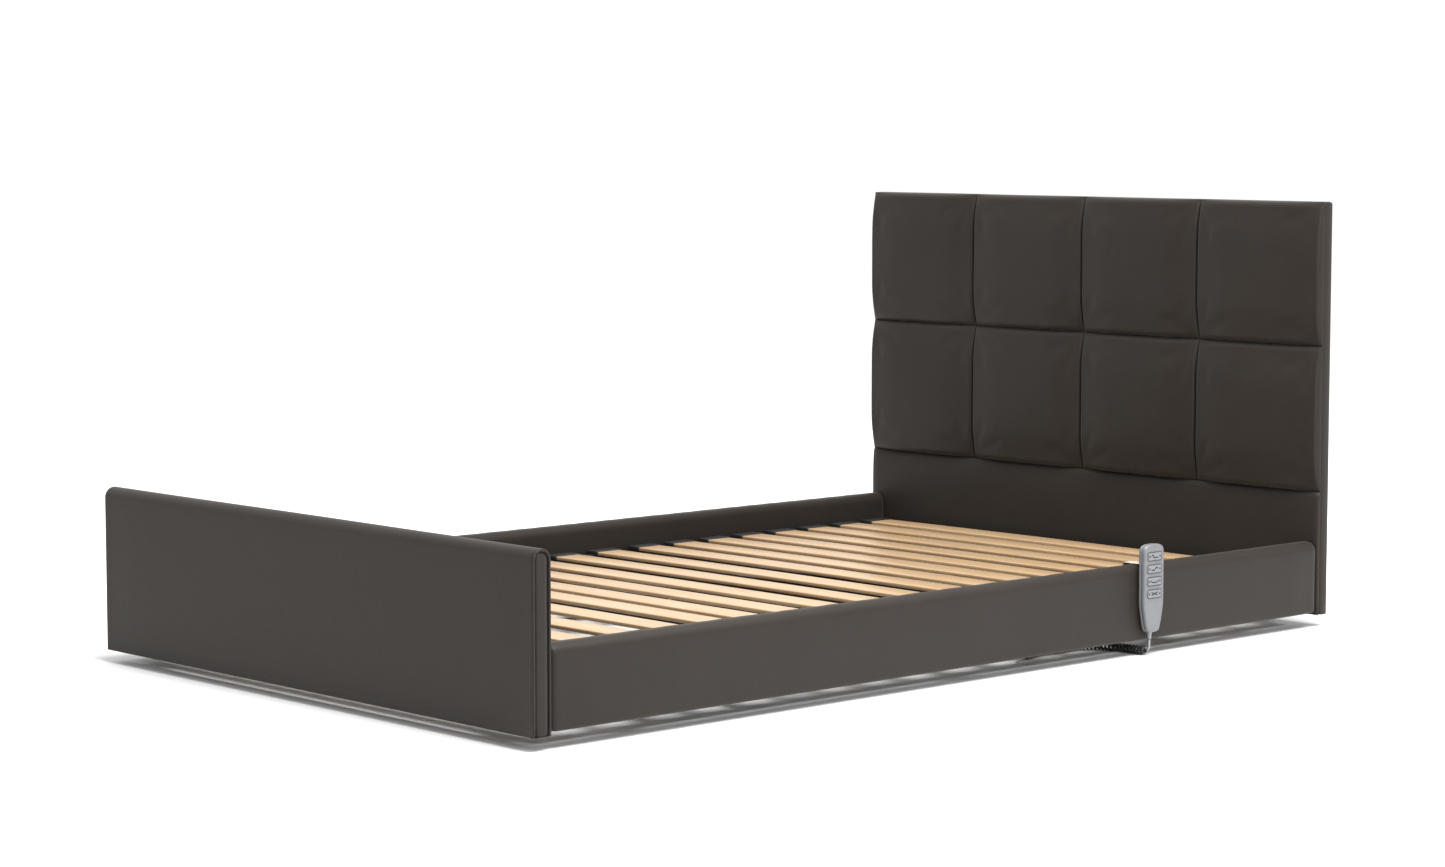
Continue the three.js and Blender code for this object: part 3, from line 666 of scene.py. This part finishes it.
def make_rail(side, outward):
    """One side rail's padded cover, with felt below."""
    node = f"side_rail_cover_{side}"
    low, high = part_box(node)
    profile = rail_profile(low, high, outward)
    rings = [rail_ring(profile, low, high, outward, distance)
             for distance in rail_places(high[1] - low[1])]
    obj = loft(f"rail_cover_{side}", rings, LEATHER)
    obj.data.materials.append(FELT)
    for face in obj.data.polygons:
        if face.normal.z < -0.92 and face.center.z < low[2] + 0.004:
            face.material_index = 1
    subdivide(obj)
    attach(obj, BED)
    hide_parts(node, f"side_rail_board_{side}")


def arch(low_y, high_y, bottom, top, steps=20):
    """The footboard's outline as (y, z) points, from the outer foot over the top."""
    radius = (high_y - low_y) / 2
    middle = (low_y + high_y) / 2
    side = 14
    points = [(low_y, bottom + (top - radius - bottom) * k / side) for k in range(side)]
    points += [(middle - radius * math.cos(math.pi * k / steps),
                top - radius + radius * math.sin(math.pi * k / steps)) for k in range(steps + 1)]
    points += [(high_y, top - radius - (top - radius - bottom) * k / side)
               for k in range(1, side + 1)]
    return points


def make_footboard():
    """The wrapped footboard: a lip and a groove at each end, a soft belly between."""
    low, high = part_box("footboard_cover")
    lip, groove_depth = 0.0052, 0.008
    rings = []
    half = high[0]
    radius = lip / 2
    fade_reach = 0.10
    edge = [(half - groove_depth, lip), (half - radius, lip)]
    edge += [(half - radius + radius * math.sin(a), radius + radius * math.cos(a))
             for a in np.linspace(0.2, math.pi, 9)]
    edge += [(half - radius - 0.004, -0.0002)]
    across = [(x, 0.0) for x in np.linspace(half - 0.014, -half + 0.014, 90)]
    left = [(-x, inset) for x, inset in reversed(edge)]
    for x, inset in edge + across + left:
        ring = []
        for y, z in arch(low[1] + inset, high[1] - inset, low[2], high[2] - inset):
            side = (y - (low[1] + high[1]) / 2) / ((high[1] - low[1]) / 2)
            level = (z - low[2]) / (high[2] - low[2])
            edge_fade = smoothstep((half - abs(x)) / fade_reach)
            soft = 0.0010 * noise.noise(Vector((x * 2.6, z * 5, side * 1.5))) * edge_fade
            belly = 0.0012 * (1 - (2 * level - 1) ** 2) * edge_fade
            ring.append((x, y + side * (belly + soft), z + 0.6 * edge_fade * soft))
        rings.append(ring)
    cover = loft("footboard_wrap", rings, LEATHER)
    cover.data.materials.append(FELT)
    for face in cover.data.polygons:
        if face.normal.z < -0.9 and face.center.z < low[2] + 0.004:
            face.material_index = 1
    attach(cover, BED)
    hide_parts("footboard_cover", "footboard_core")
    for side, sign in (("right", 1), ("left", -1)):
        make_end_strip(side, sign)


def make_end_strip(side, sign):
    """The arched strip set into the footboard's end, with a welt round it."""
    node = f"footboard_end_strip_{side}"
    low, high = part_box(node)
    outer = high[0] if sign > 0 else -low[0]
    inner_gap = 0.0016
    welt_depth, welt_radius = 0.0030, 0.0010
    steps = [(outer - 0.007, 0.0012), (outer - 0.0030, 0.0012), (outer - 0.0016, 0.0017),
             (outer - 0.0008, 0.0030), (outer - 0.0004, 0.0052), (outer - 0.0002, 0.0085)]
    rings = [[(sign * x, y, z) for y, z in
              arch(low[1] + inset, high[1] - inset - inner_gap, low[2] + min(inset, 0.001),
                   high[2] - inset - inner_gap / 2)]
             for x, inset in steps]
    strip = loft(f"footboard_end_pad_{side}", rings, LEATHER)
    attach(strip, BED)
    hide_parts(node)
    outline = arch(low[1] + 0.0003, high[1] - inner_gap, low[2] + 0.001,
                   high[2] - inner_gap / 2)
    path = [(sign * (outer - welt_depth), y, z) for y, z in outline]
    welt = tube(f"footboard_welt_{side}", path, welt_radius, WELT, 10)
    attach(welt, BED)


def rounded_outline(half_x, bottom, top, radius, steps=8):
    """The headboard's outline as (x, z) points: square at the foot, round at the top corners."""
    side = 30
    level = 60
    flank = top - radius - bottom
    points = [(half_x, bottom + flank * k / side) for k in range(side + 1)]
    points += [(half_x - radius + radius * math.cos(a), top - radius + radius * math.sin(a))
               for a in (math.pi / 2 * k / steps for k in range(1, steps + 1))]
    points += [((half_x - radius) * (1 - 2 * k / level), top) for k in range(1, level)]
    points += [(-half_x + radius - radius * math.sin(a), top - radius + radius * math.cos(a))
               for a in (math.pi / 2 * k / steps for k in range(steps + 1))]
    points += [(-half_x, top - radius - flank * k / side) for k in range(1, side + 1)]
    points += [(-half_x + 2 * half_x * k / level, bottom) for k in range(1, level)]
    return points


def make_headboard():
    """The headboard's wrapped cover, with a sewn groove near its back edge."""
    low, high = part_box("headboard_cover")
    front, back = low[1], high[1]
    profile = [(front + 0.0008, 0.016), (front, 0.006), (front + 0.0002, 0.003),
               (front + 0.0016, 0.0012), (front + 0.005, 0.0003), (front + 0.013, 0.0),
               (back - 0.006, 0.0002), (back - 0.003, 0.0012), (back - 0.001, 0.0032),
               (back, 0.007), (back - 0.0002, 0.014), (back - 0.0016, 0.0150),
               (back - 0.0016, 0.0162), (back - 0.0002, 0.0172), (back, 0.03)]
    rings = []
    for y, inset in profile:
        radius = max(0.006 - inset, 0.002)
        ring = []
        for x, z in rounded_outline(high[0] - inset, low[2] + min(inset, 0.004),
                                    high[2] - inset, radius):
            soft = 0.0005 * noise.noise(Vector((x * 5, y * 9, z * 5)))
            out = (1 if x > 0.6 else -1 if x < -0.6 else 0) * soft
            ring.append((x + out, y, z + (soft if z > 0.85 else 0)))
        rings.append(ring)
    cover = loft("headboard_wrap", rings, LEATHER)
    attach(cover, BED)
    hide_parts("headboard_cover", "headboard_core")


def make_lower_band():
    """The plain padded band below the tiles."""
    low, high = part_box("headboard_lower_pad")
    rows = 24
    rings = []
    for x in [low[0], *np.linspace(low[0] + 0.003, high[0] - 0.003, 80), high[0]]:
        tuck = 0.003 if x in (low[0], high[0]) else 0.0
        ring = []
        for k in range(rows + 1):
            level = k / rows
            face = low[1] + 0.0035 * (2 * level - 1) ** 6 + tuck
            face += 0.0007 * noise.noise(Vector((x * 4, level * 3, 2.0)))
            ring.append((x, face, low[2] + (high[2] - low[2]) * level))
        ring += [(x, high[1], high[2]), (x, high[1], low[2])]
        rings.append(ring)
    band = loft("headboard_lower_band", rings, LEATHER)
    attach(band, BED)
    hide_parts("headboard_lower_pad")


# ---- slats --------------------------------------------------------------------------------

SLAT_WIDTH = 0.062
SLAT_THICKNESS = 0.008
SLAT_CORNER = 0.0022
SLAT_BOW = 0.0015
SLAT_DROP = 0.0016
CAP_INNER_X = 0.554
STRIP_X = (0.560, 0.580)
STRIP_THICKNESS = 0.0025


def make_slat(name, near_y, half, crest):
    """One bowed slat across the bed, with its ply edges in a material of their own."""
    r = SLAT_CORNER
    far_y = near_y + SLAT_WIDTH
    rings = []
    for x in np.linspace(-half, half, 33):
        top = crest + SLAT_BOW * (1 - (x / half) ** 2)
        bottom = top - SLAT_THICKNESS
        corners = [(far_y - r, top - r, 90), (far_y - r, bottom + r, 0),
                   (near_y + r, bottom + r, -90), (near_y + r, top - r, -180)]
        rings.append([(x, y, z) for y, z in round_section(corners, r, 4, -30)])
    slat = loft(name, rings, BIRCH)
    slat.data.materials.append(BIRCH_EDGE)
    for face in slat.data.polygons:
        face.material_index = int(abs(face.normal.z) < 0.6)
    return slat


def make_slats(node, body, count):
    """A section's slats, each held at both ends in a plastic cap on a holder strip."""
    low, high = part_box(node)
    pitch = (high[1] - low[1] - SLAT_WIDTH) / max(count - 1, 1)
    pieces = []
    for i in range(count):
        near_y = low[1] + i * pitch
        pieces.append(make_slat(f"slat_{i}", near_y, high[0] - 0.004, high[2] - SLAT_DROP))
        for sign in (-1, 1):
            x0, x1 = sorted((sign * CAP_INNER_X, sign * high[0]))
            cap = box_mesh("cap", (x0, near_y - 0.002, low[2] + 0.001),
                           (x1, near_y + SLAT_WIDTH + 0.002, high[2]), HOLDER, 0.002, 3)
            pieces.append(cap)
    for sign in (-1, 1):
        x0, x1 = sorted(sign * x for x in STRIP_X)
        strip = box_mesh("strip", (x0, low[1] + 0.004, low[2]),
                         (x1, high[1] - 0.004, low[2] + STRIP_THICKNESS), HOLDER, 0.0008)
        pieces.append(strip)
    joined = join_objects(f"{node}_set", pieces)
    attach(joined, body)
    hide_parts(node)


# ---- handset ------------------------------------------------------------------------------

HANDSET_HALF = 0.0285
HANDSET_FOOT_HALF = 0.018
HANDSET_TOP = 0.220
HANDSET_BOTTOM = 0.048
KEY_HALF_WIDTH = 0.0195
KEY_HALF_HEIGHT = 0.008
KEY_CORNER = 0.0026
PRINT_LIFT = 0.00005
PRINT_FLATNESS = 0.1


def handset_outline(inset):
    """The handset's face outline as (y, z) points."""
    half, foot_half = HANDSET_HALF - inset, HANDSET_FOOT_HALF - inset
    top, bottom = HANDSET_TOP - inset, HANDSET_BOTTOM + inset
    right = [(0.0, bottom - 0.0006), (foot_half * 0.55, bottom), (foot_half * 0.9, bottom + 0.003),
             (foot_half + 0.0012, bottom + 0.010), (foot_half + 0.0062, bottom + 0.030),
             (half - 0.0004, bottom + 0.052), (half, bottom + 0.070), (half, bottom + 0.10),
             (half, top - 0.028), (half - 0.0003, top - 0.014), (half - 0.0026, top - 0.0058),
             (half - 0.009, top - 0.0022), (half * 0.45, top - 0.0006), (0.0, top)]
    loop = [(HANDSET_Y + y, z) for y, z in right]
    loop += [(HANDSET_Y - y, z) for y, z in reversed(right[1:-1])]
    closed = [(0, y, z) for y, z in loop] + [(0, *loop[0])]
    return [(p.y, p.z) for p in spline(closed, 121)[:-1]]


def handset_body(name, stations, node):
    """One shell of the handset through stations of (x, inset)."""
    rings = [[(x, y, z) for y, z in handset_outline(inset)] for x, inset in stations]
    shell = loft(name, rings, SILVER)
    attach(shell, "handset")
    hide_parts(node)
    return shell


def key_line(row):
    """The generic sign on each rocker as points in (across, up), from -1 to 1."""
    if row == 0:
        return [[(-0.8, -0.1), (-0.45, 0.55), (-0.15, -0.35), (0.75, -0.35)]]
    if row == 1:
        return [[(-0.8, -0.35), (-0.05, -0.35), (0.3, 0.5), (0.75, -0.1)]]
    if row == 2:
        return [[(-0.85, 0.4), (-0.5, -0.3), (0.5, -0.3), (0.85, 0.4)]]
    return [[(-0.7, 0.5), (0.7, -0.5)], [(-0.7, -0.5), (0.7, 0.5)]]


def key_ring(x, middle_y, middle_z, inset):
    """One ring of a rocker's pad, drawn in by an inset."""
    reach_y = (KEY_HALF_WIDTH - KEY_CORNER) * (1 - inset / KEY_HALF_WIDTH)
    reach_z = (KEY_HALF_HEIGHT - KEY_CORNER) * (1 - inset / KEY_HALF_HEIGHT)
    corners = [(reach_y, reach_z, 0), (-reach_y, reach_z, 90), (-reach_y, -reach_z, 180),
               (reach_y, -reach_z, 270)]
    section = round_section(corners, KEY_CORNER - inset * 0.6, 6, 18)
    return [(x, middle_y + y, middle_z + z) for y, z in section]


def key_print(row, face_x, middle_y, middle_z, border):
    """What is printed on a rocker: its border, its sign and an arrow at each end."""
    pieces = [tube("frame", [(face_x, y, z) for _, y, z in border], 0.0005, INK, 6, closed=True)]
    for line in key_line(row):
        path = [(face_x, middle_y + a * 0.0128, middle_z + b * 0.0060) for a, b in line]
        pieces.append(tube("sign", spline(path, 20) if len(path) > 2 else path, 0.0012, INK, 6))
    for piece in pieces:
        for vertex in piece.data.vertices:
            vertex.co.x = face_x + (vertex.co.x - face_x) * PRINT_FLATNESS
    faces = [(0, 1, 2), (3, 5, 4), (0, 3, 4, 1), (1, 4, 5, 2), (2, 5, 3, 0)]
    for end in (-1, 1):
        front = [(face_x, middle_y + end * 0.0178, middle_z),
                 (face_x, middle_y + end * 0.0135, middle_z + 0.0030),
                 (face_x, middle_y + end * 0.0135, middle_z - 0.0030)]
        back = [(x - 0.0004, y, z) for x, y, z in front]
        pieces.append(add_mesh("arrow", front + back, faces, INK, smooth=False))
    return pieces


def make_keys():
    """The four rockers, each riding its own body."""
    for row in range(4):
        node = f"handset_key_{row + 1}"
        low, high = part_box(node)
        middle_y, middle_z = (low[1] + high[1]) / 2, (low[2] + high[2]) / 2
        stations = ((low[0], 0.0004), (high[0] - 0.0007, 0.0), (high[0] - 0.0002, 0.0004),
                    (high[0], 0.0011))
        rings = [key_ring(x, middle_y, middle_z, inset) for x, inset in stations]
        pieces = [loft("pad", rings, KEY)]
        pieces += key_print(row, high[0] + PRINT_LIFT, middle_y, middle_z, rings[1])
        key = join_objects(f"key_pad_{row + 1}", pieces)
        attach(key, f"key_{row + 1}")
        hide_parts(node)


def make_handset():
    """Two shells with a parting line, the ribbed bend relief, the strap and the keys."""
    back_x, split, front_x = 0.6505, 0.6581, 0.668
    handset_body("handset_shell_back", [(back_x, 0.004), (back_x + 0.0003, 0.0024),
                                        (back_x + 0.0014, 0.0009), (back_x + 0.0035, 0.0002),
                                        (split - 0.0006, 0.0), (split - 0.0002, 0.0006)],
                 "handset_back")
    handset_body("handset_shell_front", [(split, 0.0006), (split + 0.0004, 0.0),
                                         (front_x - 0.0046, 0.0), (front_x - 0.0022, 0.0005),
                                         (front_x - 0.0006, 0.0014), (front_x, 0.0023),
                                         (front_x - 0.0002, 0.0032), (front_x - 0.0008, 0.0039),
                                         (front_x - 0.0009, 0.0050)], "handset_face")
    relief_path = [(CORD_X, HANDSET_Y, 0.0505 - 0.0165 * k / 24) for k in range(25)]

    def ribbed(t):
        return 0.0054 - 0.0022 * t + (0.0005 if int(t * 24) % 4 < 2 else -0.0002) * (t > 0.15)

    relief = tube("handset_bend_relief", relief_path, ribbed, LEAD, 20)
    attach(relief, "handset")
    make_strap()
    make_keys()


def make_strap():
    """The cream strap that hangs the handset on the rail: one bent ribbon with round edges."""
    top = 0.180 - 0.001
    path = [(0.6492, 0.150), (0.6492, 0.166), (0.6484, 0.1755), (0.6455, top - 0.0006),
            (0.640, top), (0.620, top + 0.0001), (0.604, top), (0.5995, top - 0.0009),
            (0.5972, 0.1755), (0.5970, 0.166), (0.5970, 0.1505)]
    line = spline([(x, 0, z) for x, z in path], 60)
    half, thick = 0.0125, 0.001
    sides = 20
    rings = []
    for i, point in enumerate(line):
        tangent = (line[min(i + 1, len(line) - 1)] - line[max(i - 1, 0)]).normalized()
        out = Vector((tangent.z, 0, -tangent.x))
        narrow = 1 - 0.35 * smoothstep((i - 50) / 9) ** 2
        ring = []
        for k in range(sides):
            a = 2 * math.pi * k / sides
            side = math.copysign(abs(math.cos(a)) ** 0.35, math.cos(a)) * half * narrow
            lift = math.copysign(abs(math.sin(a)) ** 0.8, math.sin(a)) * thick
            ring.append(point + out * lift + Vector((0, HANDSET_Y + side, 0)))
        rings.append(ring)
    strap = loft("handset_strap", rings, CREAM)
    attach(strap, "handset")
    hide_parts("handset_hook")


# ---- CAD nodes that stay ------------------------------------------------------------------

def finish_nodes():
    """Materials and broken edges for the CAD nodes that no piece replaces."""
    looks = {
        "floor_frame": STEEL, "outer_scissor_arms": STEEL, "inner_scissor_arms": STEEL,
        "main_frame": STEEL, "back_frame": STEEL, "thigh_frame": STEEL, "calf_frame": STEEL,
        "back_torque_tube": ZINC, "leg_torque_tube": ZINC, "lift_actuator_rod": ZINC,
        "drive_housing": BLACK, "drive_cover": BLACK, "back_motor": BLACK, "leg_motor": BLACK,
        "lift_actuator_body": BLACK, "handset_socket": BLACK, "cord_plug": BLACK,
        "back_slider": CREAM, "leg_slider": CREAM,
    }
    for name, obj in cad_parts.items():
        material = looks.get(name)
        if name.startswith("floor_foot"):
            material = RUBBER
        if "roller" in name:
            material = HOLDER
        if material is None:
            continue
        obj.data.materials.clear()
        obj.data.materials.append(material)
        flatten = obj.modifiers.new("flatten", "DECIMATE")
        flatten.decimate_type = "DISSOLVE"
        flatten.angle_limit = math.radians(1)
        edges = obj.modifiers.new("edges", "BEVEL")
        edges.width = 0.0012
        edges.segments = 2
        edges.limit_method = "ANGLE"
        edges.angle_limit = math.radians(40)


# ---- fasteners ----------------------------------------------------------------------------

def bolt(place, outward, size=0.008):
    """A zinc hexagon head on a washer; the head points along X, out of its part."""
    x, y, z = place
    pieces = []
    for sides, radius, start, end, crown in ((24, size, 0.0, 0.0012, 0.0002),
                                             (6, size * 0.72, 0.0010, 0.0055, 0.0009)):
        rings = []
        for depth, shrink in ((start, 0.0), (end - crown, 0.0), (end, crown)):
            rings.append([(x + outward * depth, y + (radius - shrink) * math.cos(a),
                           z + (radius - shrink) * math.sin(a))
                          for a in (2 * math.pi * k / sides for k in range(sides))])
        pieces.append(loft("bolt", rings, ZINC, smooth=False))
    return pieces


HINGE_X = 0.5855
HINGE_Z = 0.102
HINGES_Y = {"back_section": 0.192, "thigh_section": -0.028, "calf_section": -0.340}
BRACKET_BOLTS_X = 0.555
BRACKET_BOLTS_Z = 0.075
BRACKETS_Y = (-0.985, -0.700, 0.665, 0.985)
BRACKET_MIDDLE = 0.022


def make_bolts():
    """Bolt heads at the hinges of the deck and on the brackets that carry the side rails."""
    for body, y in HINGES_Y.items():
        heads = []
        for sign in (-1, 1):
            heads += bolt((sign * HINGE_X, y, HINGE_Z), sign, 0.0075)
        piece = join_objects(f"hinge_bolts_{body}", heads)
        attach(piece, body)
    heads = []
    for sign in (-1, 1):
        for y in BRACKETS_Y:
            heads += bolt((sign * BRACKET_BOLTS_X, y + BRACKET_MIDDLE, BRACKET_BOLTS_Z), -sign,
                          0.007)
    piece = join_objects("frame_bolts", heads)
    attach(piece, BED)


# ---- studio -------------------------------------------------------------------------------

def make_floor():
    """A pale plain floor with painted shade darkening it near the bed; it turns white away from
    the bed.
    """
    shader = Shader("studio_floor", 0.6)
    shader.surface.inputs["Specular IOR Level"].default_value = 0.2
    distance = shader.math("DIVIDE", shader.length(), 8.0, clamp=True)
    # painted shade: the floor's colour is darker near the bed so that the shadow round the bed
    # reads deeper and wider
    painted_shade_near_bed = shader.ramp(distance, (0.17, 0.82), (0.75, 1.0))
    grain = shader.ramp(shader.noise(0.7, 2), (0.3, 0.985), (0.7, 1.0))
    material = shader.use(Base_Color=shader.mix(0.03, painted_shade_near_bed, grain))
    reach = 60
    corners = [(-reach, -reach, 0), (reach, -reach, 0), (reach, reach, 0), (-reach, reach, 0)]
    floor = add_mesh("studio_floor", corners, [(0, 1, 2, 3)], material)


def make_lights():
    """A white surround with two large soft lamps, one beside the bed and one above it."""
    world = bpy.data.worlds.new("studio_world")
    world.use_nodes = True
    world.node_tree.nodes["Background"].inputs["Color"].default_value = (1, 1, 1, 1)
    world.node_tree.nodes["Background"].inputs["Strength"].default_value = 1.03
    scene.world = world
    target = Vector((0, 0, 0.3))
    lights = [("side", (5.2, -0.2, 2.2), 3.2, 75), ("top", (2.0, -0.3, 4.4), 3.2, 470)]
    for name, place, size, power in lights:
        data = bpy.data.lights.new(name, "AREA")
        data.size = size
        data.energy = power
        light = bpy.data.objects.new(name, data)
        light.location = place
        light.rotation_euler = (target - Vector(place)).to_track_quat("-Z", "Y").to_euler()
        scene.collection.objects.link(light)


make_camera()
make_cord()
make_tiles()
for rail_side, rail_sign in (("right", 1), ("left", -1)):
    make_rail(rail_side, rail_sign)
make_footboard()
make_headboard()
make_lower_band()
for slat_node, slat_body, slat_count in (("seat_slats", BED, 2), ("back_slats", "back_section", 8),
                                         ("thigh_slats", "thigh_section", 3),
                                         ("calf_slats", "calf_section", 6)):
    make_slats(slat_node, slat_body, slat_count)
make_handset()
finish_nodes()
make_bolts()
make_floor()
make_lights()
